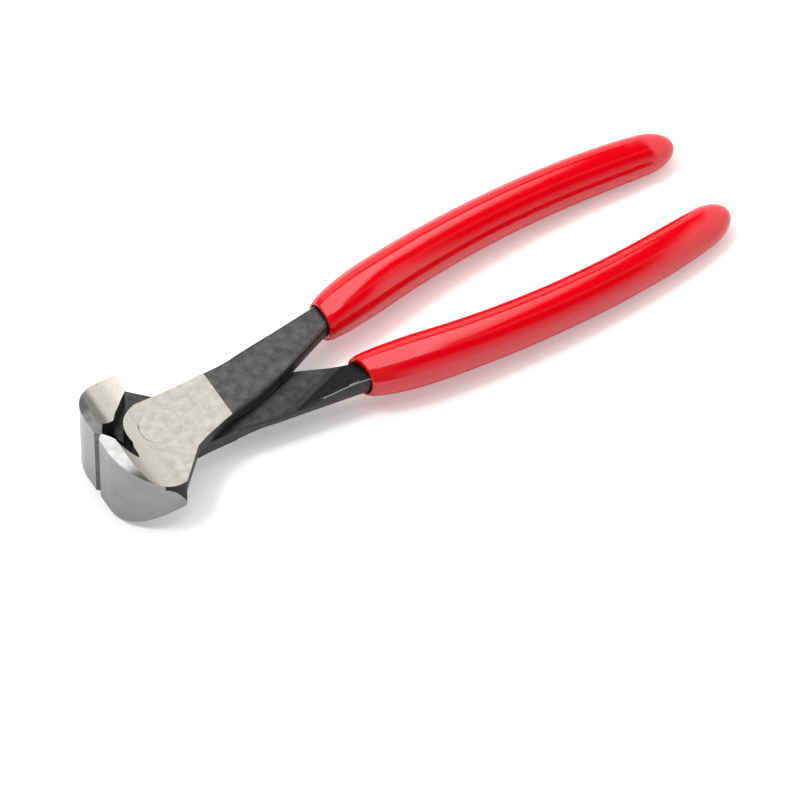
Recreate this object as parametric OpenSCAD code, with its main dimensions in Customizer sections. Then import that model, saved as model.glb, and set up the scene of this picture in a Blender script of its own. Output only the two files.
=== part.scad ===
// End cutting nippers: two equal forged halves crossed in a lap joint on one flush rivet,
// each with a dipped grip. The upper half carries the near jaw (-Y) and the far handle (+Y),
// and the lower half is the same forging turned over about the long axis.

/* [Jaws] */
// Rivet axis to the flat front of the jaws
jaw_reach = 20.4; // [18:0.1:24]
// Height of the jaws over both rims
jaw_height = 28; // [25:0.5:32]
// Half width of the flat front
front_half = 6.3; // [5:0.1:7.5]
// Plan radius of the jaw's outer shoulder
shoulder_radius = 14.5; // [13.5:0.1:16]
// Radius of the rim beside its straight middle, seen along the tool
rim_radius = 18; // [16.5:0.5:24]
// Depth of the outer bevel behind which the cutting edges meet
edge_bevel = 1.3; // [0.8:0.1:1.6]
// Radius of the hollow ground into the jaw above and below the joint
hollow_radius = 14.8; // [13:0.1:16]
// Height, from the lap plane, of the jaw's root beside the other half's plate
root_height = 6.8; // [6:0.1:8]

/* [Lap joint] */
// Thickness of one half's plate in the joint
plate_thick = 4.7; // [4:0.1:5.4]
// Radius of the plate's round front about the rivet
disc_radius = 10.4; // [10:0.1:11]
// Diameter of the rivet's shank
rivet_d = 8; // [6:0.1:9]
// Diameter of the rivet's flush heads
head_d = 12; // [10.5:0.1:14]
// Rivet axis to the end of the ground cheek
cheek_reach = 19.8; // [18:0.1:22]

/* [Shanks] */
// Rivet axis to the mouth of the grip
mouth_reach = 60; // [55:1:70]
// Height of the shank at the grip's mouth
mouth_height = 6.8; // [6:0.1:8]
// Width of the shank at the grip's mouth
mouth_width = 8.4; // [7.5:0.1:9.5]
// Radius along the forging's top edges
top_edge = 1.2; // [0.6:0.1:1.6]
// Rivet axis to where the flat lap face gives way to the ramp, along the outer edge
crease_reach = 34; // [31:0.5:38]
// Angle between the crease and the long axis
crease_angle = 20; // [14:1:26]
// Width of the shallow slope between the crease and the ramp
slope_width = 2.1; // [1:0.1:3]
// Fall of the shallow slope
slope_angle = 11; // [5:1:14]
// Fall of the ramp
ramp_angle = 20; // [16:1:24]
// Draft of the forged sides, away from the lap plane
draft_angle = 8; // [3:0.5:9]

/* [Handles] */
// Rivet axis to the tip of the grips
handle_reach = 185.4; // [170:1:205]
// Plan radius of the bowed handle
bow_radius = 325; // [290:5:400]
// Rivet axis to the widest point of the bow
bow_reach = 131; // [120:1:140]
// Half spread of the handles' centre lines at the widest point
bow_half = 19.1; // [17:0.1:22]
// Width of the steel tang near its end
tang_end_width = 6.6; // [5:0.1:7.5]
// Height of the steel tang near its end
tang_end_height = 5.4; // [4.5:0.1:6]
// Thickness of the grip beyond the tang's end
tip_cover = 9; // [7:0.5:14]

/* [Grips] */
// Diameter of the grip at its thickest
grip_d = 15.6; // [14.6:0.1:17]
// Width of the grip at its mouth
lip_width = 12.2; // [11.8:0.1:13]
// Height of the grip at its mouth
lip_height = 9.8; // [9.4:0.1:11]
// Lean of the grip's mouth, its inner side nearer the joint
lip_lean = 18; // [8:1:24]
// Diameter of the grip where its round tip begins
grip_end_d = 12.5; // [11.5:0.1:13.5]
// Length of the grip's round tip
tip_length = 11.5; // [8:0.5:14]
// Radius round the edge of the grip's mouth
lip_edge = 0.7; // [0.4:0.1:0.9]

/* [Hidden] */
steel_grey = [0.72, 0.71, 0.69];
rivet_grey = [0.80, 0.79, 0.77];
grip_red = [0.72, 0.03, 0.05];

// Clearances and overrun
lap_gap = 0.05;      // from the lap plane to each plate
edge_gap = 0.05;     // from the middle plane to each cutting edge
rivet_gap = 0.05;    // round the rivet
grip_gap = 0.05;     // round the tang
skin_drop = 0.04;    // of the forged skin below the ground faces
over = 1;            // of a cut past the metal
arc_step = 5;        // degrees between the points of an arc
step_least = 0.05;   // least distance between neighbouring points of a section
flare_run = 8;       // length behind the cheek in which the draft and the rounding set in
round_least = 0.25;  // share of the rounding at the cheek
tuck_share = 0.1;    // of the draft, turned inward where the shank sits in the plate

// Derived places, from the rivet axis
half_height = jaw_height / 2;
edge_reach = jaw_reach - edge_bevel;
shoulder_x = -jaw_reach + shoulder_radius;
jaw_half_width = front_half + shoulder_radius;
middle_x = (handle_reach - jaw_reach) / 2;

// Plan of jaw, plate and neck
neck_reach = 10.4;        // where the plate is narrowest
neck_half = 9.5;          // half width there, on the outer side
neck_bend_share = 0.78;   // where the shoulder's back ends, of its run to the neck
neck_inner_half = 9.7;    // half width there, on the inner side
flank_offset = 17.5;      // where the shoulder's back, at 45 degrees, would meet the rivet's cross line
hollow_start = 2.6;       // tangent line of the plate side hollow, in front of the rivet
root_start = 4.9;         // tangent line of the root side hollow, in front of the rivet
edge_lip = 0.4;           // width of the land along the cutting edge

// Throat behind the cutting edge: shares of edge_reach and of jaw_half_width. On the plate side a narrow
// slot lies between the round front and the wall, and on the root side there is the wall alone
plate_slot_shares = [[0.568, 0.202], [0.578, 0.327], [0.592, 0.389], [0.605, 0.408], [0.62, 0.408],
                     [0.636, 0.396], [0.675, 0.356], [0.767, 0.264], [0.843, 0.192], [0.895, 0.106]];
root_wall_shares = [[0.843, 0.203], [0.734, 0.234], [0.62, 0.277], [0.517, 0.402],
                    [0.41, 0.489], [0.297, 0.59], [0.179, 0.675], [0.159, 0.81]];

// Edges of the shank: shares of mouth_reach, and of the way from the neck to the mouth
outer_edge_shares = [[0.173, 0], [0.33, 0.04], [0.45, 0.15], [0.57, 0.36], [0.74, 0.6], [1, 1]];
inner_edge_shares = [[0.173, 0], [0.29, 0.13], [0.5, 0.32], [0.69, 0.53], [0.865, 0.79], [1, 1]];

// Diameter of the grip along its length: shares of that length, and of grip_d - grip_end_d
grip_swell_shares = [[0.14, 1], [0.26, 0.87], [0.37, 0.74], [0.5, 0.61],
                     [0.7, 0.45], [0.8, 0.34], [0.87, 0.18]];
// Swell behind the mouth: shares of the grip's length, and of the way from the mouth's size to grip_d
lip_swell_shares = [[0.02, 0.38], [0.06, 0.76]];
flat_share = 0.3;        // of the grip's length, where its section has become round
flat_bulge = 2.8;        // exponent of the flattened section at the mouth

// Points of an arc
function arc(cx, cy, r, from, to) =
    let (n = ceil(abs(to - from) / arc_step))
    [for (i = [0 : n]) [cx + r * cos(from + (to - from) * i / n), cy + r * sin(from + (to - from) * i / n)]];

// Smooth curve through rows of [place, value]
function slope_at(rows, i) =
    let (a = rows[max(i - 1, 0)], b = rows[min(i + 1, len(rows) - 1)])
    (b[1] - a[1]) / (b[0] - a[0]);
function row_before(rows, x, i = 0) =
    i >= len(rows) - 2 || x < rows[i + 1][0] ? i : row_before(rows, x, i + 1);
function smooth(rows, x) =
    let (i = row_before(rows, x), a = rows[i], b = rows[i + 1], w = b[0] - a[0])
    let (t = min(max((x - a[0]) / w, 0), 1), s = 1 - t)
    a[1] * (1 + 2 * t) * s * s + b[1] * (3 - 2 * t) * t * t
        + slope_at(rows, i) * w * t * s * s - slope_at(rows, i + 1) * w * t * t * s;

// Centre line of the handle
function bow_y(x) =
    bow_half - bow_radius + sqrt(bow_radius * bow_radius - (x - bow_reach) * (x - bow_reach));
mouth_y = bow_y(mouth_reach);
tang_reach = handle_reach - tip_cover;

// Share of the way along the tang
function tang_share(x) = (x - mouth_reach) / (tang_reach - mouth_reach);

// Outer and inner edge of shank and tang at the top, seen from above
function tang_half(x) = (mouth_width + (tang_end_width - mouth_width) * tang_share(x)) / 2;
outer_rows = [for (s = outer_edge_shares)
    [s[0] * mouth_reach, neck_half + s[1] * (mouth_y + mouth_width / 2 - neck_half)]];
inner_rows = [for (s = inner_edge_shares)
    [s[0] * mouth_reach, -neck_inner_half + s[1] * (mouth_y - mouth_width / 2 + neck_inner_half)]];
function outer_y(x) = x > mouth_reach ? bow_y(x) + tang_half(x) : smooth(outer_rows, x);
function inner_y(x) = x > mouth_reach ? bow_y(x) - tang_half(x) : smooth(inner_rows, x);

// Top and bottom of shank and tang
function end_drop(x) = max(tang_share(x), 0) * (mouth_height - tang_end_height) / 2;
function top_z(x) = x > mouth_reach
    ? mouth_height / 2 - end_drop(x)
    : plate_thick + (mouth_height / 2 - plate_thick) * (x - cheek_reach) / (mouth_reach - cheek_reach);
function past_crease(x, y) =
    (x - crease_reach) * sin(crease_angle) + (y - outer_y(crease_reach)) * cos(crease_angle);
slope_fall = slope_width * tan(slope_angle);
function ramp_fall(past) =
    min(max(past, 0), slope_width) * tan(slope_angle) + max(past - slope_width, 0) * tan(ramp_angle);
function bottom_z(x, y) = max(-mouth_height / 2 + end_drop(x), lap_gap - ramp_fall(past_crease(x, y)));

// Where a section crosses the line that lies the given distance past the crease
function line_y(x, past) =
    outer_y(crease_reach) + (past - (x - crease_reach) * sin(crease_angle)) / cos(crease_angle);
function foot_past(x) =
    slope_width + (mouth_height / 2 - end_drop(x) + lap_gap - slope_fall) / tan(ramp_angle);

// How far a side leans out between the height z and the lap plane
function flare(x, z) =
    min(max((x - cheek_reach) / flare_run, -tuck_share), 1) * (top_z(x) - abs(z)) * tan(draft_angle);
function top_round(x) =
    top_edge * (round_least + (1 - round_least) * min(max((x - cheek_reach) / flare_run, 0), 1));

// Section of shank or tang across the long axis, from its inner to its outer side
function section(x, grow) =
    let (yi = inner_y(x) - grow, yo = outer_y(x) + grow, zt = top_z(x) - skin_drop + grow)
    let (e = top_round(x), c = e * (1 - cos(45)), f = top_edge / 2, g = f * (1 - cos(45)), s = step_least)
    let (bi = bottom_z(x, yi) + skin_drop - grow, bo = bottom_z(x, yo) + skin_drop - grow)
    let (si = yi - flare(x, bi), so = yo + flare(x, bo), pi = max(bi + f + s, 0), po = max(bo + f + s, 0))
    let (foot = min(max(line_y(x, foot_past(x)), si + f + 3 * s), so - f - s))
    let (bend = min(max(line_y(x, slope_width), si + f + 2 * s), foot - s))
    let (crest = min(max(line_y(x, 0), si + f + s), bend - s))
    [
        [x, yi - flare(x, pi), pi],
        [x, yi - flare(x, zt - e), zt - e],
        [x, yi + c, zt - c],
        [x, yi + e, zt],
        [x, yo - e, zt],
        [x, yo - c, zt - c],
        [x, yo + flare(x, zt - e), zt - e],
        [x, yo + flare(x, po), po],
        [x, so, bo + f],
        [x, so - g, bo + g],
        [x, so - f, bottom_z(x, so - f) + skin_drop - grow],
        [x, foot, bottom_z(x, foot) + skin_drop - grow],
        [x, bend, bottom_z(x, bend) + skin_drop - grow],
        [x, crest, bottom_z(x, crest) + skin_drop - grow],
        [x, si + f, bottom_z(x, si + f) + skin_drop - grow],
        [x, si + g, bi + g],
        [x, si, bi + f]
    ];

// Solid through a row of sections with the same number of points
module loft(sections) {
    n = len(sections[0]);
    last = len(sections) - 1;
    polyhedron(
        points = [for (ring = sections) each ring],
        faces = concat(
            [[for (i = [0 : n - 1]) n - 1 - i]],
            [for (k = [0 : last - 1], i = [0 : n - 1]) [k * n + i, k * n + (i + 1) % n, (k + 1) * n + i]],
            [for (k = [0 : last - 1], i = [0 : n - 1])
                [k * n + (i + 1) % n, (k + 1) * n + (i + 1) % n, (k + 1) * n + i]],
            [[for (i = [0 : n - 1]) last * n + i]]
        ),
        convexity = 6
    );
}

// Stations along the shank, from inside the ground plate, and along the tang
shank_steps = 16;
tang_steps = 12;
seat = 4;  // of the forged shank inside the ground plate
function shank_station(i) = cheek_reach - seat + (mouth_reach - cheek_reach + seat) * i / shank_steps;
function tang_station(i) = mouth_reach + (tang_reach - mouth_reach) * i / tang_steps;

// Plan of the half above the lap plane: jaw, plate and neck
disc_start = 105;  // where the round front leaves the outer edge
disc_end = 193;    // and where it gives way to the slot
function flank_x() =
    let (b = (shoulder_x + flank_offset - front_half) / 2, k = (flank_offset - front_half - shoulder_x) / 2)
    b - sqrt(shoulder_radius * shoulder_radius / 2 - k * k);
function flank_turn() = 360 - acos((flank_x() - shoulder_x) / shoulder_radius);
module plate_plan() {
    neck_run = flank_offset - neck_inner_half;
    neck_stations = [for (i = [0 : 3]) neck_reach + (cheek_reach - neck_reach) * i / 3];
    polygon(concat(
        [[-edge_reach, -edge_gap], [-jaw_reach, -edge_gap - edge_bevel]],
        arc(shoulder_x, -front_half, shoulder_radius, 180, flank_turn()),
        [[neck_run * neck_bend_share, neck_run * neck_bend_share - flank_offset]],
        [for (x = neck_stations) [x, inner_y(x)]],
        [for (i = [3 : -1 : 0]) [neck_stations[i], outer_y(neck_stations[i])]],
        arc(0, 0, disc_radius, disc_start, disc_end),
        [for (s = plate_slot_shares) [-s[0] * edge_reach, -s[1] * jaw_half_width]],
        [[-edge_reach + edge_lip, -edge_gap]]
    ));
}

// Plan of the jaw below the lap plane, beside the other half's plate
module root_plan() {
    polygon(concat(
        [[-edge_reach, -edge_gap], [-jaw_reach, -edge_gap - edge_bevel]],
        arc(shoulder_x, -front_half, shoulder_radius, 180, flank_turn()),
        [for (i = [len(root_wall_shares) - 1 : -1 : 0])
            [-root_wall_shares[i][0] * edge_reach, -root_wall_shares[i][1] * jaw_half_width]],
        [[-edge_reach + edge_lip, -edge_gap]]
    ));
}

// Cut for the hollow between a jaw's rim and a floor at the given height, tangent at -start
module hollow_cut(start, floor_z) {
    translate([0, jaw_half_width + over, 0])
        rotate([90, 0, 0])
            linear_extrude(2 * jaw_half_width + 2 * over)
                polygon(concat(
                    arc(-start, floor_z + hollow_radius, hollow_radius, 270, 186),
                    [[-jaw_reach, jaw_height], [cheek_reach + over, jaw_height],
                     [cheek_reach + over, floor_z]]
                ));
}

// Cut that leaves the rim, straight over the flat front and rounded beside it
module rim_cut() {
    difference() {
        translate([-jaw_reach - over, -jaw_half_width - over, 0])
            cube([jaw_reach + cheek_reach, 2 * jaw_half_width + 2 * over, jaw_height]);
        translate([-jaw_reach - 2 * over, -front_half, -over])
            cube([jaw_reach + cheek_reach + 3 * over, 2 * front_half, half_height + over]);
        for (side = [-1, 1])
            translate([-jaw_reach - 2 * over, side * front_half, half_height - rim_radius])
                rotate([0, 90, 0])
                    cylinder(h = jaw_reach + cheek_reach + 3 * over, r = rim_radius, $fn = 180);
    }
}

// Countersunk hole for the rivet
head_depth = (head_d - rivet_d) / 2;
module rivet_hole() {
    hole_d = rivet_d + 2 * rivet_gap;
    translate([0, 0, -over])
        cylinder(h = plate_thick + 2 * over, d = hole_d, $fn = 96);
    translate([0, 0, plate_thick - head_depth])
        cylinder(h = head_depth + over, d1 = hole_d, d2 = head_d + 2 * rivet_gap + 2 * over, $fn = 96);
}

// One forging, with its jaw on -Y and its handle on +Y, above the lap plane
module forged_half() {
    difference() {
        union() {
            translate([0, 0, lap_gap])
                linear_extrude(half_height)
                    plate_plan();
            translate([0, 0, -half_height])
                linear_extrude(half_height + lap_gap)
                    root_plan();
        }
        hollow_cut(hollow_start, plate_thick);
        mirror([0, 0, 1])
            hollow_cut(root_start, root_height);
        rim_cut();
        mirror([0, 0, 1])
            rim_cut();
        rivet_hole();
    }
    loft(concat(
        [for (i = [0 : shank_steps - 1]) section(shank_station(i), 0)],
        [for (i = [0 : tang_steps]) section(tang_station(i), 0)]
    ));
}

// Grip dipped over the tang: a skin along the bow, flattened at its mouth, hollow for the tang
grip_sides = 28;
grip_steps = 22;
tip_steps = 5;
tip_turn = 88;    // degrees of the tip's round, short of its pole
mouth_step = 13;  // shank station where the tang's hollow starts, ahead of the mouth
bow_start = asin((mouth_reach - bow_reach) / bow_radius);
bow_end = asin((handle_reach - bow_reach) / bow_radius);
bow_tip = tip_length / bow_radius * 180 / PI;
grip_span = bow_end - bow_start;
round_share = 1 - bow_tip / grip_span;
function grip_rows(lip) = concat(
    [[0, lip]],
    [for (s = lip_swell_shares) [s[0], lip + s[1] * (grip_d - lip)]],
    [for (s = grip_swell_shares) [s[0], grip_end_d + s[1] * (grip_d - grip_end_d)]],
    [[round_share, grip_end_d]]
);
width_rows = grip_rows(lip_width);
height_rows = grip_rows(lip_height);
function flatness(share) = min(max(1 - share / flat_share, 0), 1);
function squared(value, power) = sign(value) * pow(abs(value), power);
function ring(share, wide, high) =
    let (power = 2 / (2 + (flat_bulge - 2) * flatness(share)))
    let (lean = tan(lip_lean) * flatness(share) / bow_radius * 180 / PI)
    [for (i = [0 : grip_sides - 1])
        let (a = -360 * i / grip_sides, across = wide / 2 * squared(cos(a), power))
        let (out = bow_radius + across, turn = bow_start + grip_span * share + lean * across)
        let (z = high / 2 * squared(sin(a), power))
        [bow_reach + out * sin(turn), bow_half - bow_radius + out * cos(turn), z]];
lip_share = lip_edge / (bow_radius * PI / 180 * grip_span);
function body_share(i) = lip_share + (round_share - lip_share) * i / grip_steps;
module handle_grip() {
    lip = [for (a = [90 : -30 : 30])
        let (inset = 2 * lip_edge * (1 - cos(a)))
        ring(lip_share * (1 - sin(a)), lip_width - inset, lip_height - inset)];
    body = [for (i = [0 : grip_steps])
        ring(body_share(i), smooth(width_rows, body_share(i)), smooth(height_rows, body_share(i)))];
    tip = [for (i = [1 : tip_steps])
        let (a = tip_turn * i / tip_steps, d = grip_end_d * cos(a))
        ring(1 - bow_tip * (1 - sin(a)) / grip_span, d, d)];
    difference() {
        loft(concat(lip, body, tip));
        loft(concat(
            [for (i = [mouth_step : shank_steps - 1]) section(shank_station(i), grip_gap)],
            [for (i = [0 : tang_steps - 1]) section(tang_station(i), grip_gap)],
            [section(tang_reach + grip_gap, grip_gap)]
        ));
    }
}

// Place the part with its middle over the origin and its jaws' lower rims at Z = 0
module in_frame() {
    translate([-middle_x, 0, half_height])
        children();
}
module turned_over() {
    rotate([180, 0, 0])
        children();
}

module upper_half() {
    color(steel_grey)
        in_frame()
            forged_half();
}
module lower_half() {
    color(steel_grey)
        in_frame()
            turned_over()
                forged_half();
}
module rivet() {
    color(rivet_grey)
        in_frame()
            rotate_extrude($fn = 96)
                polygon([
                    [0, -plate_thick],
                    [head_d / 2, -plate_thick],
                    [rivet_d / 2, head_depth - plate_thick],
                    [rivet_d / 2, plate_thick - head_depth],
                    [head_d / 2, plate_thick],
                    [0, plate_thick]
                ]);
}
module upper_grip() {
    color(grip_red)
        in_frame()
            handle_grip();
}
module lower_grip() {
    color(grip_red)
        in_frame()
            turned_over()
                handle_grip();
}

upper_half();
lower_half();
rivet();
upper_grip();
lower_grip();
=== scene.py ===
import bpy, bmesh
from math import asin, atan2, cos, degrees, pi, radians, sin, tan
from mathutils import Matrix, Vector


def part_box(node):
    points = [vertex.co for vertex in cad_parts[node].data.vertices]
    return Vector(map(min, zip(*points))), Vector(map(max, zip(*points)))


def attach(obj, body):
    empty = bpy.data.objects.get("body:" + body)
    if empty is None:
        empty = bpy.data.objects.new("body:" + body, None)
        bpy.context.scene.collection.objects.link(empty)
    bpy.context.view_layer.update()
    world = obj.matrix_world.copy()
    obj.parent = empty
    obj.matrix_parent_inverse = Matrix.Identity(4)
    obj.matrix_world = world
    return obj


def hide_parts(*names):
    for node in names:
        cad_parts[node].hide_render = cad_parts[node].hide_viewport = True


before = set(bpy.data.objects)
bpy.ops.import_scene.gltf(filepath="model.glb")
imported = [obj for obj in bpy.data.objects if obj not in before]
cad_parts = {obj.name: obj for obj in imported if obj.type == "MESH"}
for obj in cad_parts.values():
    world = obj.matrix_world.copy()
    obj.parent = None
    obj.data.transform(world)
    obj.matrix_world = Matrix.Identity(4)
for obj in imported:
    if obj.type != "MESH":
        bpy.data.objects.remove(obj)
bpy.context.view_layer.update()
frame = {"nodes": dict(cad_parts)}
print("frame loaded:", ", ".join(frame["nodes"]))

scene = bpy.context.scene
mm = 0.001
rivetX = -82.5  # mm, where the rivet stands
rivetZ = 14.0


# camera
cameraView = {
    "azimuth": 34.34,  # degrees, 0 looks along +Y
    "elevation": 54.01,
    "roll": 3.16,
    "aim": (-11.36, -15.80, 0.52),  # mm, where the middle of the picture looks
    "distance": 1305.8,  # mm
    "lens": 202.25,
    "sensor": 36,
    "near": 0.05,  # m
    "far": 20,
}


def addCamera(v):
    az, el, roll = radians(v["azimuth"]), radians(v["elevation"]), radians(v["roll"])
    forward = Vector((sin(az) * cos(el), cos(az) * cos(el), -sin(el)))
    level = Vector((cos(az), -sin(az), 0))
    rise = level.cross(forward)
    right = level * cos(roll) + rise * sin(roll)
    up = rise * cos(roll) - level * sin(roll)
    camera = bpy.data.objects.new("camera", bpy.data.cameras.new("camera"))
    camera.data.lens = v["lens"]
    camera.data.sensor_width = v["sensor"]
    camera.data.clip_start = v["near"]
    camera.data.clip_end = v["far"]
    place = Matrix((right, up, -forward)).transposed().to_4x4()
    place.translation = (Vector(v["aim"]) - forward * v["distance"]) * mm
    camera.matrix_world = place
    scene.collection.objects.link(camera)
    scene.camera = camera


addCamera(cameraView)
print("camera placed")


# node helpers
def newMaterial(name):
    material = bpy.data.materials.new(name)
    material.use_nodes = True
    nodes = material.node_tree.nodes
    nodes.clear()
    output = nodes.new("ShaderNodeOutputMaterial")
    shader = nodes.new("ShaderNodeBsdfPrincipled")
    material.node_tree.links.new(shader.outputs[0], output.inputs[0])
    return material, nodes, material.node_tree.links, shader


def addMath(nodes, links, operation, first, second=None, third=None):
    math = nodes.new("ShaderNodeMath")
    math.operation = operation
    for place, value in enumerate((first, second, third)):
        if value is None:
            continue
        if isinstance(value, (int, float)):
            math.inputs[place].default_value = value
        else:
            links.new(value, math.inputs[place])
    return math.outputs[0]


def addStep(nodes, links, value, low, high):
    # 0 below low, 1 above high, smooth between
    step = nodes.new("ShaderNodeMapRange")
    step.interpolation_type = "SMOOTHSTEP"
    step.inputs["From Min"].default_value = low
    step.inputs["From Max"].default_value = high
    links.new(value, step.inputs["Value"])
    return step.outputs["Result"]


def addStops(nodes, links, value, rows, peak):
    # levels along a value from 0 to 1, with 1 at the last row's place
    ramp = nodes.new("ShaderNodeValToRGB")
    stops = ramp.color_ramp.elements
    span = rows[-1][0]
    for i, (place, level) in enumerate(rows):
        stop = stops[i] if i < 2 else stops.new(place / span)  # a new ramp has two stops
        stop.position = place / span
        stop.color = (*[level / peak] * 3, 1)
    links.new(value, ramp.inputs[0])
    return addMath(nodes, links, "MULTIPLY", ramp.outputs[0], peak)


def seenRays(nodes, links, mirrored):
    # 1 for rays from the camera, and a share for mirrored and transmitted ones
    path = nodes.new("ShaderNodeLightPath")
    indirect = path.outputs["Is Glossy Ray"], path.outputs["Is Transmission Ray"]
    share = addMath(nodes, links, "MULTIPLY", addMath(nodes, links, "MAXIMUM", *indirect), mirrored)
    return addMath(nodes, links, "MAXIMUM", path.outputs["Is Camera Ray"], share)


# what the tool lies on: jaws on their lower rims, grips on their undersides
floorLook = {
    "size": 6.0,
    "color": (0.92, 0.92, 0.93, 1),
    "rough": 0.9,
    "shine": 0.30,  # white that only seen rays get
    "mirrored": 0.2,  # share of it in reflections
    "rimLine": 3,  # mm behind the jaws' fronts, where the rims touch down
}


def restTilt(v):
    # angle at which a plane under the jaws first meets a grip
    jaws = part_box("upper_half")[0]
    touch = Vector((jaws.x + v["rimLine"] * mm, 0, jaws.z))
    angles = []
    for name in ("upper_grip", "lower_grip"):
        for vertex in frame["nodes"][name].data.vertices:
            p = vertex.co - touch
            angles.append(atan2(p.z, p.x))
    return touch, min(angles)


def addFloor(v):
    touch, tilt = restTilt(v)
    shape = bmesh.new()
    bmesh.ops.create_grid(shape, x_segments=2, y_segments=2, size=v["size"] / 2)
    bmesh.ops.rotate(shape, verts=shape.verts, cent=(0, 0, 0), matrix=Matrix.Rotation(-tilt, 3, "Y"))
    bmesh.ops.translate(shape, verts=shape.verts, vec=touch)
    mesh = bpy.data.meshes.new("floor")
    shape.to_mesh(mesh)
    shape.free()
    floor = bpy.data.objects.new("floor", mesh)
    scene.collection.objects.link(floor)
    material, nodes, links, shader = newMaterial("whitePaper")
    shader.inputs["Base Color"].default_value = v["color"]
    shader.inputs["Roughness"].default_value = v["rough"]
    shader.inputs["Specular IOR Level"].default_value = 0.0
    shader.inputs["Emission Color"].default_value = (1, 1, 1, 1)
    seen = seenRays(nodes, links, v["mirrored"])
    links.new(addMath(nodes, links, "MULTIPLY", seen, v["shine"]), shader.inputs["Emission Strength"])
    floor.data.materials.append(material)
    print("floor tilt:", round(degrees(tilt), 2), "degrees")


addFloor(floorLook)


# light: a softbox over the jaws, a key that isn't mirrored, and a pale room
softboxLook = {
    "middle": (58, 407),  # mm from the rivet
    "height": 800,
    "size": (895, 1250),
    "turn": -18.3,  # degrees
    "power": 6.4,
    # share of its first side, and brightness there
    "glow": [(0, 1.0), (0.5, 1.0), (0.8, 1.12), (0.9, 1.25), (0.95, 0.8), (1, 0.35)],
    "glowPeak": 1.3,
}
keyLook = {
    "towards": (-0.34, 0.22, 0.91),
    "angle": 14,  # degrees
    "strength": 1.0,
}
roomLook = {
    # turn about the long axis in degrees, from +Y over the top to -Y, and brightness there
    "profile": [
        (0, 0.56), (20, 0.74), (29, 0.70), (33, 0.25), (37, 0.02), (102, 0.01), (106, 0.17),
        (114, 0.19), (119, 0.01), (138, 0.01), (150, 0.28), (168, 0.66), (180, 0.78),
    ],
    "peak": 1.0,
    "front": 0.15,  # brightness towards the jaws
    "frontFrom": (-0.05, 0.25),
    "back": 1.1,  # and towards the tips
    "backFrom": (0.45, 0.58),
}


def addSoftbox(v):
    light = bpy.data.lights.new("softbox", "AREA")
    light.shape = "RECTANGLE"
    light.size, light.size_y = [side * mm for side in v["size"]]
    light.energy = v["power"]
    lamp = bpy.data.objects.new("softbox", light)
    rivet = (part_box("rivet")[0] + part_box("rivet")[1]) / 2
    lamp.location = rivet + Vector((*v["middle"], v["height"])) * mm
    lamp.rotation_euler = (0, 0, radians(v["turn"]))
    lamp.visible_camera = False
    light.use_nodes = True
    nodes, links = light.node_tree.nodes, light.node_tree.links
    nodes.clear()
    output = nodes.new("ShaderNodeOutputLight")
    shine = nodes.new("ShaderNodeEmission")
    split = nodes.new("ShaderNodeSeparateXYZ")
    links.new(nodes.new("ShaderNodeTexCoord").outputs["UV"], split.inputs[0])
    glow = addStops(nodes, links, split.outputs[0], v["glow"], v["glowPeak"])
    links.new(glow, shine.inputs["Strength"])
    links.new(shine.outputs[0], output.inputs[0])
    scene.collection.objects.link(lamp)


def addKey(v):
    light = bpy.data.lights.new("key", "SUN")
    light.energy = v["strength"]
    light.angle = radians(v["angle"])
    lamp = bpy.data.objects.new("key", light)
    lamp.rotation_euler = Vector(v["towards"]).to_track_quat("Z", "Y").to_euler()
    lamp.visible_glossy = False
    scene.collection.objects.link(lamp)


def addRoom(v):
    world = bpy.data.worlds.new("studio")
    scene.world = world
    world.use_nodes = True
    nodes, links = world.node_tree.nodes, world.node_tree.links
    nodes.clear()
    output = nodes.new("ShaderNodeOutputWorld")
    place = nodes.new("ShaderNodeTexCoord")
    split = nodes.new("ShaderNodeSeparateXYZ")
    links.new(place.outputs["Generated"], split.inputs[0])
    x, y, z = split.outputs
    turn = addMath(nodes, links, "DIVIDE", addMath(nodes, links, "ARCTAN2", z, y), pi)
    level = addStops(nodes, links, turn, v["profile"], v["peak"])
    # towards the jaws and the tips the room is plain
    for end, along in (("front", addMath(nodes, links, "MULTIPLY", x, -1)), ("back", x)):
        share = addStep(nodes, links, along, *v[end + "From"])
        change = addMath(nodes, links, "SUBTRACT", v[end], level)
        level = addMath(nodes, links, "MULTIPLY_ADD", change, share, level)
    room = nodes.new("ShaderNodeBackground")
    room.inputs["Color"].default_value = (1, 1, 1, 1)
    links.new(level, room.inputs["Strength"])
    white = nodes.new("ShaderNodeBackground")
    white.inputs["Color"].default_value = (1, 1, 1, 1)
    path = nodes.new("ShaderNodeLightPath")
    mix = nodes.new("ShaderNodeMixShader")
    links.new(path.outputs["Is Camera Ray"], mix.inputs[0])
    links.new(room.outputs[0], mix.inputs[1])
    links.new(white.outputs[0], mix.inputs[2])
    links.new(mix.outputs[0], output.inputs[0])


addSoftbox(softboxLook)
addKey(keyLook)
addRoom(roomLook)
print("light set")


# finishes: a noise is its scale, detail and roughness, and a band is where it turns over
def addNoise(nodes, links, coords, noiseKind, stretch=(1, 1, 1)):
    mapping = nodes.new("ShaderNodeMapping")
    mapping.inputs["Scale"].default_value = stretch
    noise = nodes.new("ShaderNodeTexNoise")
    for socket, value in zip(("Scale", "Detail", "Roughness"), noiseKind):
        noise.inputs[socket].default_value = value
    links.new(coords, mapping.inputs[0])
    links.new(mapping.outputs[0], noise.inputs["Vector"])
    return noise.outputs["Fac"]


def addRamp(nodes, links, value, band, lowColor, highColor):
    ramp = nodes.new("ShaderNodeValToRGB")
    for stop, place, color in zip(ramp.color_ramp.elements, band, (lowColor, highColor)):
        stop.position = place
        stop.color = (*color, 1)
    links.new(value, ramp.inputs[0])
    return ramp.outputs[0]


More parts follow.
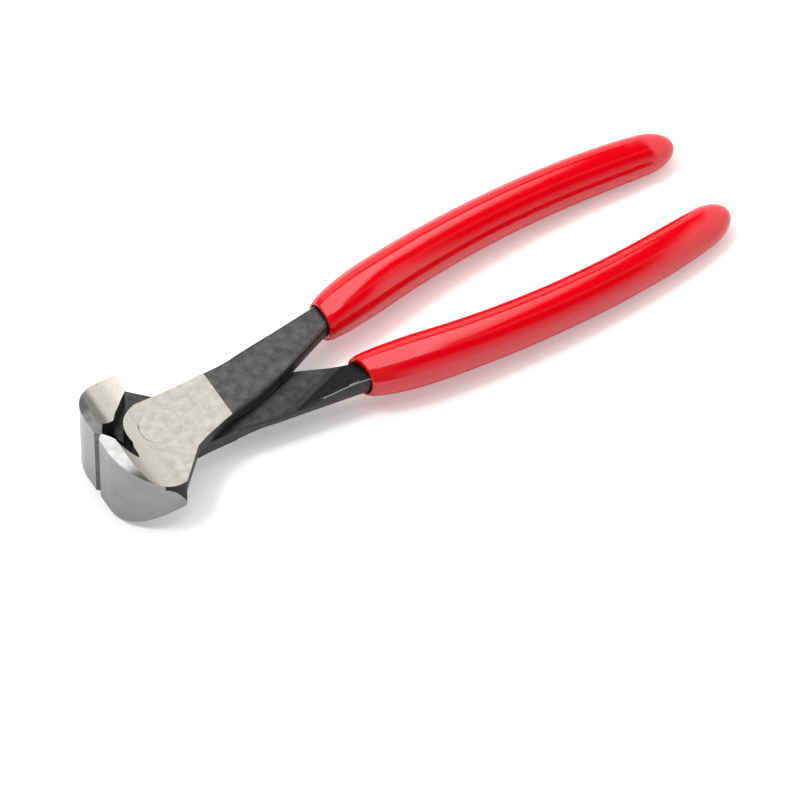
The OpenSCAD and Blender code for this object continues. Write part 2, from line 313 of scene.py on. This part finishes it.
def addBump(nodes, links, value, height, shader):
    bump = nodes.new("ShaderNodeBump")
    bump.inputs["Strength"].default_value = 1.0
    bump.inputs["Distance"].default_value = height
    links.new(value, bump.inputs["Height"])
    links.new(bump.outputs[0], shader.inputs["Normal"])


def mixColors(nodes, links, share, first, second):
    mix = nodes.new("ShaderNodeMix")
    mix.data_type = "RGBA"
    links.new(share, mix.inputs["Factor"])
    for place, color in ((6, first), (7, second)):  # the two color sockets
        if isinstance(color, tuple):
            mix.inputs[place].default_value = (*color, 1)
        else:
            links.new(color, mix.inputs[place])
    return mix.outputs[2]


def grey(value):
    return (value, value, value)


def splitPlace(nodes, links, coords):
    # place in mm from the rivet's middle, with the height seen from the half's own cheek
    split = nodes.new("ShaderNodeSeparateXYZ")
    links.new(coords, split.inputs[0])
    x = addMath(nodes, links, "MULTIPLY_ADD", split.outputs[0], 1 / mm, -rivetX)
    y = addMath(nodes, links, "MULTIPLY", split.outputs[1], 1 / mm)
    z = addMath(nodes, links, "MULTIPLY_ADD", split.outputs[2], 1 / mm, -rivetZ)
    side = addMath(nodes, links, "MULTIPLY", addMath(nodes, links, "SIGN", y), -1)
    return x, y, addMath(nodes, links, "MULTIPLY", z, side)


def addHollow(nodes, links, coords, color, pitted, v):
    # painted light: lighter away from the lap plane; painted shade: darker high up on the far side
    height = splitPlace(nodes, links, coords)[2]
    rise = addStep(nodes, links, addMath(nodes, links, "ABSOLUTE", height), *v["paintedLightBand"])
    lighter = mixColors(nodes, links, pitted, color, v["paintedLightColor"])
    color = mixColors(nodes, links, rise, color, lighter)
    under = addStep(nodes, links, addMath(nodes, links, "MULTIPLY", height, -1), *v["paintedShadeBand"])
    return mixColors(nodes, links, under, color, v["paintedShadeColor"])


def addSkin(nodes, links, coords, color, pits, v):
    # black forged skin above a line that falls more and more steeply
    split = splitPlace(nodes, links, coords)
    past = addMath(nodes, links, "MAXIMUM", addMath(nodes, links, "SUBTRACT", split[0], v["fromX"]), 0)
    slope = addMath(nodes, links, "MULTIPLY_ADD", past, v["curve"], v["slope"])
    fall = addMath(nodes, links, "MULTIPLY", past, slope)
    height = addMath(nodes, links, "ADD", addMath(nodes, links, "SUBTRACT", split[2], v["fromZ"]), fall)
    ragged = addMath(nodes, links, "MULTIPLY_ADD", pits, v["ragged"], height)
    above = addStep(nodes, links, ragged, *v["edgeBand"])
    black = addMath(nodes, links, "MULTIPLY", above, addStep(nodes, links, past, *v["startBand"]))
    return mixColors(nodes, links, black, color, v["color"])


def addFoot(nodes, links, coords, color, v):
    # another color as far as a slanted line; on the ramps it makes the painted shade lighter at their
    # foot
    x, y, z = splitPlace(nodes, links, coords)
    turn = radians(v["turn"])
    along = addMath(nodes, links, "MULTIPLY", addMath(nodes, links, "SUBTRACT", x, v["x"]), sin(turn))
    out = addMath(nodes, links, "SUBTRACT", addMath(nodes, links, "ABSOLUTE", y), v["y"])
    distance = addMath(nodes, links, "MULTIPLY_ADD", out, cos(turn), along)
    return mixColors(nodes, links, addStep(nodes, links, distance, *v["band"]), v["color"], color)


def groundSteel(name, v):
    material, nodes, links, shader = newMaterial(name)
    coords = nodes.new("ShaderNodeTexCoord").outputs["Object"]
    blotch = addNoise(nodes, links, coords, v["blotch"])
    grain = addNoise(nodes, links, coords, v["grain"], v["grainStretch"])
    pits = addNoise(nodes, links, coords, v["pits"])
    color = addRamp(nodes, links, blotch, v["blotchBand"], v["darkColor"], v["color"])
    pitted = addRamp(nodes, links, pits, v["pitBand"], grey(0), grey(1))
    color = mixColors(nodes, links, pitted, v["pitColor"], color)
    if "hollow" in v:
        color = addHollow(nodes, links, coords, color, pitted, v["hollow"])
    if "skin" in v:
        color = addSkin(nodes, links, coords, color, pits, v["skin"])
    links.new(color, shader.inputs["Base Color"])
    smooth, dull = v["rough"]
    rough = addRamp(nodes, links, blotch, v["roughBand"], grey(dull), grey(smooth))
    links.new(rough, shader.inputs["Roughness"])
    addBump(nodes, links, grain, v["grainHeight"], shader)
    shader.inputs["Metallic"].default_value = 1.0
    return material


def blackOxide(name, v):
    material, nodes, links, shader = newMaterial(name)
    coords = nodes.new("ShaderNodeTexCoord").outputs["Object"]
    cloud = addNoise(nodes, links, coords, v["cloud"])
    grit = addNoise(nodes, links, coords, v["grit"])
    rub = addNoise(nodes, links, coords, v["rub"])
    color = addRamp(nodes, links, cloud, v["cloudBand"], v["darkColor"], v["color"])
    rubbed = addRamp(nodes, links, rub, v["rubBand"], grey(0), grey(v["rubShare"]))
    color = mixColors(nodes, links, rubbed, color, v["rubColor"])
    if "foot" in v:
        color = addFoot(nodes, links, coords, color, v["foot"])
    links.new(color, shader.inputs["Base Color"])
    smooth, dull = v["rough"]
    rough = addRamp(nodes, links, cloud, v["roughBand"], grey(dull), grey(smooth))
    links.new(rough, shader.inputs["Roughness"])
    addBump(nodes, links, grit, v["gritHeight"], shader)
    shader.inputs["Metallic"].default_value = v["metallic"]
    shader.inputs["Specular IOR Level"].default_value = v["specular"]
    return material


def dippedVinyl(name, v):
    material, nodes, links, shader = newMaterial(name)
    coords = nodes.new("ShaderNodeTexCoord").outputs["Object"]
    ripple = addNoise(nodes, links, coords, v["ripple"])
    cloud = addNoise(nodes, links, coords, v["cloud"])
    color = addRamp(nodes, links, cloud, v["cloudBand"], v["darkColor"], v["color"])
    links.new(color, shader.inputs["Base Color"])
    smooth, dull = v["rough"]
    rough = addRamp(nodes, links, cloud, v["cloudBand"], grey(dull), grey(smooth))
    links.new(rough, shader.inputs["Roughness"])
    shader.inputs["IOR"].default_value = v["ior"]
    addBump(nodes, links, ripple, v["rippleHeight"], shader)
    return material


groundLook = {
    "color": (0.475, 0.452, 0.402),
    "darkColor": (0.395, 0.376, 0.336),
    "blotch": (420.0, 5, 0.62),
    "blotchBand": (0.34, 0.66),
    "pits": (1400.0, 2, 0.55),
    "pitBand": (0.30, 0.38),
    "pitColor": (0.40, 0.385, 0.36),
    "grain": (2600.0, 3, 0.55),
    "grainStretch": (1.0, 0.16, 1.0),
    "grainHeight": 0.000012,  # m
    "rough": (0.36, 0.46),
    "roughBand": (0.3, 0.7),
}
cheekLook = dict(
    groundLook,
    hollow={
        # painted light on the hollows away from the lap plane, painted shade high up on the far side
        "paintedLightBand": (4.6, 5.4),  # mm from the lap plane
        "paintedLightColor": (0.60, 0.58, 0.53),
        "paintedShadeBand": (8.6, 10.6),
        "paintedShadeColor": (0.21, 0.205, 0.20),
    },
)
landLook = dict(groundLook, color=(0.56, 0.56, 0.55), darkColor=(0.44, 0.44, 0.43), rough=(0.28, 0.38))
# painted shade: a darker copy of the edge steel for the lands away from the cheek
shadedLandLook = dict(
    landLook,
    color=(0.21, 0.205, 0.20),
    darkColor=(0.15, 0.147, 0.143),
    pitColor=(0.09, 0.09, 0.09),
)
jawLook = dict(
    groundLook,
    color=(0.36, 0.358, 0.352),
    darkColor=(0.31, 0.308, 0.302),
    blotch=(150.0, 5, 0.62),
    rough=(0.14, 0.22),
    grainHeight=0.000005,
    skin={
        "fromX": -9.9,  # mm, the cheek's corner
        "fromZ": 4.7,
        "slope": 0.35,
        "curve": 0.16,
        "ragged": 0.9,
        "edgeBand": (0.3, 0.55),
        "startBand": (0.0, 0.2),
        "color": (0.012, 0.012, 0.012),
    },
)
# the notch's own dark finish, with the pits of the look above
bevelLook = dict(shadedLandLook, color=(0.20, 0.20, 0.21), darkColor=(0.13, 0.13, 0.14), rough=(0.35, 0.45))
oxideLook = {
    "color": (0.112, 0.109, 0.105),
    "darkColor": (0.062, 0.061, 0.060),
    "cloud": (380.0, 5, 0.6),
    "cloudBand": (0.32, 0.68),
    "grit": (2600.0, 3, 0.55),
    "gritHeight": 0.00004,  # m
    "rub": (700.0, 4, 0.7),
    "rubBand": (0.60, 0.72),
    "rubShare": 0.35,
    "rubColor": (0.16, 0.155, 0.15),
    "rough": (0.34, 0.44),
    "roughBand": (0.3, 0.7),
    "metallic": 0.9,
    "specular": 0.5,
}
lapLook = dict(oxideLook, color=(0.068, 0.068, 0.067), darkColor=(0.038, 0.038, 0.038))
deepLook = dict(oxideLook, rubShare=0.1, metallic=0.0, specular=0.18)
# painted shade: a nearly black copy of the oxide on the ramps
shadedRampLook = dict(
    deepLook,
    color=(0.012, 0.012, 0.012),
    darkColor=(0.006, 0.006, 0.006),
    # painted shade, lighter next to the ramp's foot, where it is nearly as grey as the lap
    foot={
        "x": 34.8,  # mm, a place on the foot of the ramp
        "y": 11.7,
        "turn": 20.0,  # degrees
        "band": (1.5, 2.0),  # mm from there
        "color": (0.045, 0.045, 0.045),
    },
)
# painted shade: a black line along the creases of the lap
shadedCreaseLook = dict(deepLook, color=(0.004, 0.004, 0.004), darkColor=(0.002, 0.002, 0.002))
rubbedLook = dict(
    oxideLook,
    rubBand=(0.50, 0.62),
    rubShare=0.8,
    rubColor=(0.30, 0.295, 0.29),
    rough=(0.30, 0.42),
)
# wear with a painted highlight: a bright matte line on the low outer edges of the shanks
wearHighlightLook = dict(
    rubbedLook,
    rubBand=(0.26, 0.38),
    rubShare=1.0,
    rubColor=(0.42, 0.41, 0.40),
    metallic=0.0,
)
scaleLook = dict(
    oxideLook,
    color=(0.030, 0.030, 0.031),
    darkColor=(0.014, 0.014, 0.015),
    rubShare=0.15,
    metallic=0.2,
)
vinylLook = {
    "color": (0.88, 0.0, 0.009),
    "darkColor": (0.83, 0.0, 0.007),
    "rough": (0.06, 0.10),
    "ior": 1.70,
    "cloud": (90.0, 3, 0.55),
    "cloudBand": (0.3, 0.7),
    "ripple": (60.0, 2, 0.55),
    "rippleHeight": 0.00003,  # m
}

finishes = {
    "cheek": groundSteel("groundSteel", cheekLook),
    "land": groundSteel("edgeSteel", landLook),
    "shadedLand": groundSteel("shadedEdgeSteel", shadedLandLook),
    "jaw": groundSteel("polishedSteel", jawLook),
    "bevel": groundSteel("bevelSteel", bevelLook),
    "oxide": blackOxide("blackOxide", oxideLook),
    "lap": blackOxide("lapOxide", lapLook),
    "ramp": blackOxide("shadedRampOxide", shadedRampLook),
    "crease": blackOxide("shadedCreaseOxide", shadedCreaseLook),
    "rubbed": blackOxide("rubbedOxide", rubbedLook),
    "worn": blackOxide("wearHighlightOxide", wearHighlightLook),
    "scale": blackOxide("forgedScale", scaleLook),
}
vinyl = dippedVinyl("redVinyl", vinylLook)
print("finishes made:", ", ".join(finishes), "vinyl")


# forgings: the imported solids, merged and with their edges eased
forgingLook = {
    # places in mm from the rivet, for a half whose jaw is on -Y and whose cheek is up
    "plate": 4.7,  # height of the cheek
    "cheekEnd": 19.75,
    "rampEnd": 52.0,
    "lapHeight": 0.2,
    "shoulder": (-5.9, -6.3),  # middle of the jaw's round outer side
    "shoulderRadius": 14.5,
    "shoulderFit": 0.15,
    "shoulderEnd": (-2.9, -6.2),
    "frontX": -20.38,
    "bevelBack": -19.05,
    "bevelSide": -1.4,
    "edgeX": -18.5,
    "jawEnd": -9,
    "landFrom": 5.6,
    "landTop": 9,
    "near": 0.05,  # what still counts as level with the cheek
    # parts of a face's normal
    "upright": 0.05,
    "across": 0.1,
    "tilted": 0.3,
    "steep": 0.5,
    "facing": 0.9,
    "level": 0.96,
    # edges, in mm and degrees
    "weld": 0.002,
    "flatAngle": 0.6,
    "creaseAngle": 5,
    "sharpAngle": 24,
    "edgeAngle": 30,
    "rivetHead": 6.3,  # nothing is eased this near the rivet's axis
    "shankFrom": 10,
    "wearHighlightFrom": 13.4,  # to the side, past which an edge is worn and gets a painted highlight
    "wearHighlightBelow": 3.6,
    "widths": {"crease": 0.34, "worn": 0.15, "rubbed": 0.25, "eased": 0.10},
    "segments": 2,
}


def zoneOf(center, normal, v):
    # which finish a face has
    x, y, z = center
    if x > v["cheekEnd"]:
        if abs(normal.z) < v["steep"]:
            return "scale"
        if normal.z > 0:
            return "oxide"
        return "ramp" if abs(normal.z) < v["level"] or x > v["rampEnd"] else "lap"
    if abs(normal.z) > v["facing"] and abs(z - v["plate"]) < v["near"]:
        return "cheek"
    if abs(normal.z) < v["upright"]:
        around = (Vector((x, y)) - Vector(v["shoulder"])).length
        endX, endY = v["shoulderEnd"]
        if x < v["frontX"]:
            return "jaw"
        if abs(around - v["shoulderRadius"]) < v["shoulderFit"] and y < endY and x < endX:
            return "jaw"
        if x < v["bevelBack"] and y > v["bevelSide"]:
            return "bevel"
        return "jaw" if x < v["edgeX"] and normal.y > v["facing"] else "scale"
    if abs(z) < v["lapHeight"]:
        return "lap"
    if abs(z) < v["plate"] - v["near"] and x > v["jawEnd"]:
        return "scale"
    if abs(normal.x) < v["across"] and abs(z) > v["landFrom"]:
        if abs(normal.y) > v["tilted"] or abs(z) > v["landTop"]:
            # the lands away from the cheek get painted shade
            return "land" if z > 0 else "shadedLand"
    return "cheek"


def addForging(name, node, body, turned, v):
    shape = bmesh.new()
    shape.from_mesh(frame["nodes"][node].data)
    side = -1 if turned else 1
    for vertex in shape.verts:
        # the forged skin ends level with the cheek
        height = (vertex.co.z - rivetZ * mm) * side
        if vertex.co.x > (rivetX + v["shankFrom"]) * mm and height > v["plate"] * mm:
            vertex.co.z = (rivetZ + side * v["plate"]) * mm
    bmesh.ops.remove_doubles(shape, verts=shape.verts, dist=v["weld"] * mm)
    bmesh.ops.dissolve_degenerate(shape, edges=shape.edges, dist=v["weld"] * mm)
    flat = radians(v["flatAngle"])
    bmesh.ops.dissolve_limit(shape, angle_limit=flat, verts=shape.verts, edges=shape.edges)
    order = list(finishes)
    for face in shape.faces:
        c = face.calc_center_median() / mm
        local = Vector((c.x - rivetX, c.y * side, (c.z - rivetZ) * side))
        n = face.normal
        face.material_index = order.index(zoneOf(local, Vector((n.x, n.y * side, n.z * side)), v))
        face.smooth = True
    layers = {kind: shape.edges.layers.float.new(kind + "Edge") for kind in v["widths"]}
    for edge in shape.edges:
        if len(edge.link_faces) != 2:
            continue
        zones = {order[face.material_index] for face in edge.link_faces}
        turn = edge.calc_face_angle()
        # the creases of the lap get a line of painted shade
        if zones == {"lap"} and turn > radians(v["creaseAngle"]):
            edge[layers["crease"]] = 1.0
            continue
        middle = (edge.verts[0].co + edge.verts[1].co) / 2 / mm
        head = Vector((middle.x - rivetX, middle.y)).length < v["rivetHead"]
        if head or turn < radians(v["edgeAngle"]):
            continue
        kind = "eased"
        if zones <= {"oxide", "lap", "ramp", "scale"} and middle.x > rivetX + v["shankFrom"]:
            # low outer edges get wear with a painted highlight
            low = (middle.z - rivetZ) * side < v["wearHighlightBelow"]
            kind = "worn" if low and middle.y * side > v["wearHighlightFrom"] else "rubbed"
        edge[layers[kind]] = 1.0
    mesh = bpy.data.meshes.new(name)
    shape.to_mesh(mesh)
    shape.free()
    mesh.set_sharp_from_angle(angle=radians(v["sharpAngle"]))
    for material in finishes.values():
        mesh.materials.append(material)
    forging = bpy.data.objects.new(name, mesh)
    scene.collection.objects.link(forging)
    for kind, width in v["widths"].items():
        bevel = forging.modifiers.new(kind + "Edge", "BEVEL")
        bevel.width = width * mm
        bevel.segments = v["segments"]
        bevel.limit_method = "WEIGHT"
        bevel.edge_weight = kind + "Edge"
        bevel.use_clamp_overlap = kind != "worn"  # its line keeps its width past short edges
        if kind in finishes:
            bevel.material = order.index(kind)
    weighted = forging.modifiers.new("flatFaces", "WEIGHTED_NORMAL")
    weighted.keep_sharp = True
    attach(forging, body)
    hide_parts(node)


addForging("upperForging", "upper_half", "upper_side", False, forgingLook)
addForging("lowerForging", "lower_half", "lower_side", True, forgingLook)
print("forgings dressed")


# grips: a skin drawn ring by ring along the bow, over the flat section of the tang at its mouth
gripLook = {
    "bowX": 131.0,  # mm from the rivet
    "bowHalf": 19.1,
    "bowRadius": 325.0,
    "mouthX": 59.8,
    "endX": 185.4,
    "tipLength": 11.5,
    "mouthSize": 12.2,
    "thickest": 15.6,
    "endSize": 12.5,
    # share of the length, and of the way from the mouth's or the end's size to the thickest
    "swell": [(0.02, 0.38), (0.06, 0.76)],
    "taper": [(0.14, 1), (0.26, 0.87), (0.37, 0.74), (0.5, 0.61), (0.7, 0.45), (0.8, 0.34), (0.87, 0.18)],
    "coat": 1.45,
    "lipRound": 0.6,
    "mouthGap": 0.22,
    "mouthDepth": 3.0,
    # sides of the steel at the mouth: turn from the outer side, and distance from the middle
    "tangSides": [(90, 3.36), (8, 4.65), (-8, 4.65), (-90, 3.36), (-108.9, 2.72), (172, 4.5), (188, 4.5)],
    "tangCrisp": 14.0,
    "skinCrisp": 3.5,
    "mouthRound": 0.84,  # how round the section is at the mouth
    "roundFrom": 0.15,  # share of the length where it has become round
    "dense": 0.4,  # spacing of the rings at the mouth, as a share of the mean
    "sides": 72,
    "steps": 60,
    "lipSteps": 5,
    "tipSteps": 10,
}


def smoothRow(rows, x):
    # smooth curve through rows of place and value
    i = 0
    while i < len(rows) - 2 and x >= rows[i + 1][0]:
        i += 1

    def slopeAt(k):
        a, b = rows[max(k - 1, 0)], rows[min(k + 1, len(rows) - 1)]
        return (b[1] - a[1]) / (b[0] - a[0])

    a, b = rows[i], rows[i + 1]
    w = b[0] - a[0]
    t = min(max((x - a[0]) / w, 0), 1)
    s = 1 - t
    ends = a[1] * (1 + 2 * t) * s * s + b[1] * (3 - 2 * t) * t * t
    return ends + slopeAt(i) * w * t * s * s - slopeAt(i + 1) * w * t * t * s


def steelRadius(turn, crisp, v):
    # the higher the crispness, the sharper the corners between the tang's sides
    total = 0
    for angle, distance in v["tangSides"]:
        total += (max(cos(turn - radians(angle)), 0) / distance) ** crisp
    return total ** (-1 / crisp)


def placeOf(vertex):
    return tuple(vertex.co)


def cornersOf(element):
    return sorted(vertex.index for vertex in element.verts)


def putInOrder(elements, key):
    rank = {element: i for i, element in enumerate(sorted(elements, key=key))}
    elements.sort(key=rank.get)
    elements.index_update()


def addGrip(name, node, body, turned, lean, v):
    start = asin((v["mouthX"] - v["bowX"]) / v["bowRadius"])
    end = asin((v["endX"] - v["bowX"]) / v["bowRadius"])
    span = end - start
    length = v["bowRadius"] * span
    tip = v["tipLength"] / v["bowRadius"] / span
    spread = [(s, v["mouthSize"] + k * (v["thickest"] - v["mouthSize"])) for s, k in v["swell"]]
    narrow = [(s, v["endSize"] + k * (v["thickest"] - v["endSize"])) for s, k in v["taper"]]
    rows = [(0, v["mouthSize"])] + spread + narrow + [(1 - tip, v["endSize"])]
    side = -1 if turned else 1

    def ringPoints(share, size, cut=0.0, inner=False):
        # share of the length, size across the round part, how far a ring is drawn in
        points = []
        fade = min(max(share / v["roundFrom"], 0), 1)
        fade = v["mouthRound"] + (1 - v["mouthRound"]) * fade * fade * (3 - 2 * fade)
        for i in range(v["sides"]):
            turn = -2 * pi * i / v["sides"]
            if inner:
                radius = steelRadius(turn, v["tangCrisp"], v) + v["mouthGap"]
            else:
                steel = steelRadius(turn, v["skinCrisp"], v)
                radius = size / 2 * ((steel + v["coat"]) * 2 / v["mouthSize"]) ** (1 - fade) - cut
            across = radius * cos(turn)
            rise = side * radius * sin(turn)
            shift = tan(radians(lean["inner"])) * across - tan(radians(lean["top"])) * rise
            angle = start + span * share + shift * (1 - fade) / (1 - v["mouthRound"]) / v["bowRadius"]
            out = v["bowRadius"] + across
            x = rivetX + v["bowX"] + out * sin(angle)
            y = side * (v["bowHalf"] - v["bowRadius"] + out * cos(angle))
            points.append(Vector((x, y, rivetZ + rise)) * mm)
        return points

    lipShare = v["lipRound"] / length
    rings = [ringPoints(v["mouthDepth"] / length, 0, inner=True), ringPoints(lipShare, 0, inner=True)]
    for i in range(v["lipSteps"] + 1):
        a = pi / 2 * (1 - i / v["lipSteps"])
        rings.append(ringPoints(lipShare * (1 - sin(a)), v["mouthSize"], v["lipRound"] * (1 - cos(a))))
    for i in range(1, v["steps"] + 1):
        k = i / v["steps"]
        share = lipShare + (1 - tip - lipShare) * k * (v["dense"] + (1 - v["dense"]) * k)
        rings.append(ringPoints(share, smoothRow(rows, share)))
    for i in range(1, v["tipSteps"]):
        a = pi / 2 * i / v["tipSteps"]
        rings.append(ringPoints(1 - tip * (1 - sin(a)), v["endSize"] * cos(a)))

    shape = bmesh.new()
    loop = bmesh.ops.create_circle(shape, cap_ends=False, radius=1, segments=v["sides"])["verts"]
    for vertex, point in zip(loop, rings[0]):
        vertex.co = point
    bmesh.ops.contextual_create(shape, geom=loop)
    edges = list(shape.edges)
    for points in rings[1:]:
        made = bmesh.ops.extrude_edge_only(shape, edges=edges)["geom"]
        edges = [g for g in made if isinstance(g, bmesh.types.BMEdge)]
        copies = {}
        for vertex in loop:
            for edge in vertex.link_edges:
                other = edge.other_vert(vertex)
                if other not in loop and other in made:
                    copies[vertex] = other
        loop = [copies[vertex] for vertex in loop]
        for vertex, point in zip(loop, points):
            vertex.co = point
        edges = [e for e in edges if e.verts[0] in loop and e.verts[1] in loop]
    bmesh.ops.contextual_create(shape, geom=loop)
    bmesh.ops.poke(shape, faces=[f for f in shape.faces if len(f.verts) > 4])
    bmesh.ops.recalc_face_normals(shape, faces=shape.faces)
    for face in shape.faces:
        face.smooth = True
    # the operators leave the order to chance
    putInOrder(shape.verts, placeOf)
    putInOrder(shape.edges, cornersOf)
    putInOrder(shape.faces, cornersOf)
    mesh = bpy.data.meshes.new(name)
    shape.to_mesh(mesh)
    shape.free()
    mesh.materials.append(vinyl)
    grip = bpy.data.objects.new(name, mesh)
    scene.collection.objects.link(grip)
    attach(grip, body)
    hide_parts(node)


# degrees by which a mouth leans, its inner side or its top nearer the joint
addGrip("upperGripSkin", "upper_grip", "upper_side", False, {"inner": 12, "top": -6}, gripLook)
addGrip("lowerGripSkin", "lower_grip", "lower_side", True, {"inner": 18, "top": -8}, gripLook)
print("grips dipped")


def dressNode(name, material):
    node = frame["nodes"][name]
    if not node.data.materials:
        node.data.materials.append(None)
    for place in node.material_slots:
        place.link = "OBJECT"
        place.material = material


dressNode("rivet", finishes["cheek"])
print("rivet dressed")

scene.view_settings.view_transform = "Standard"
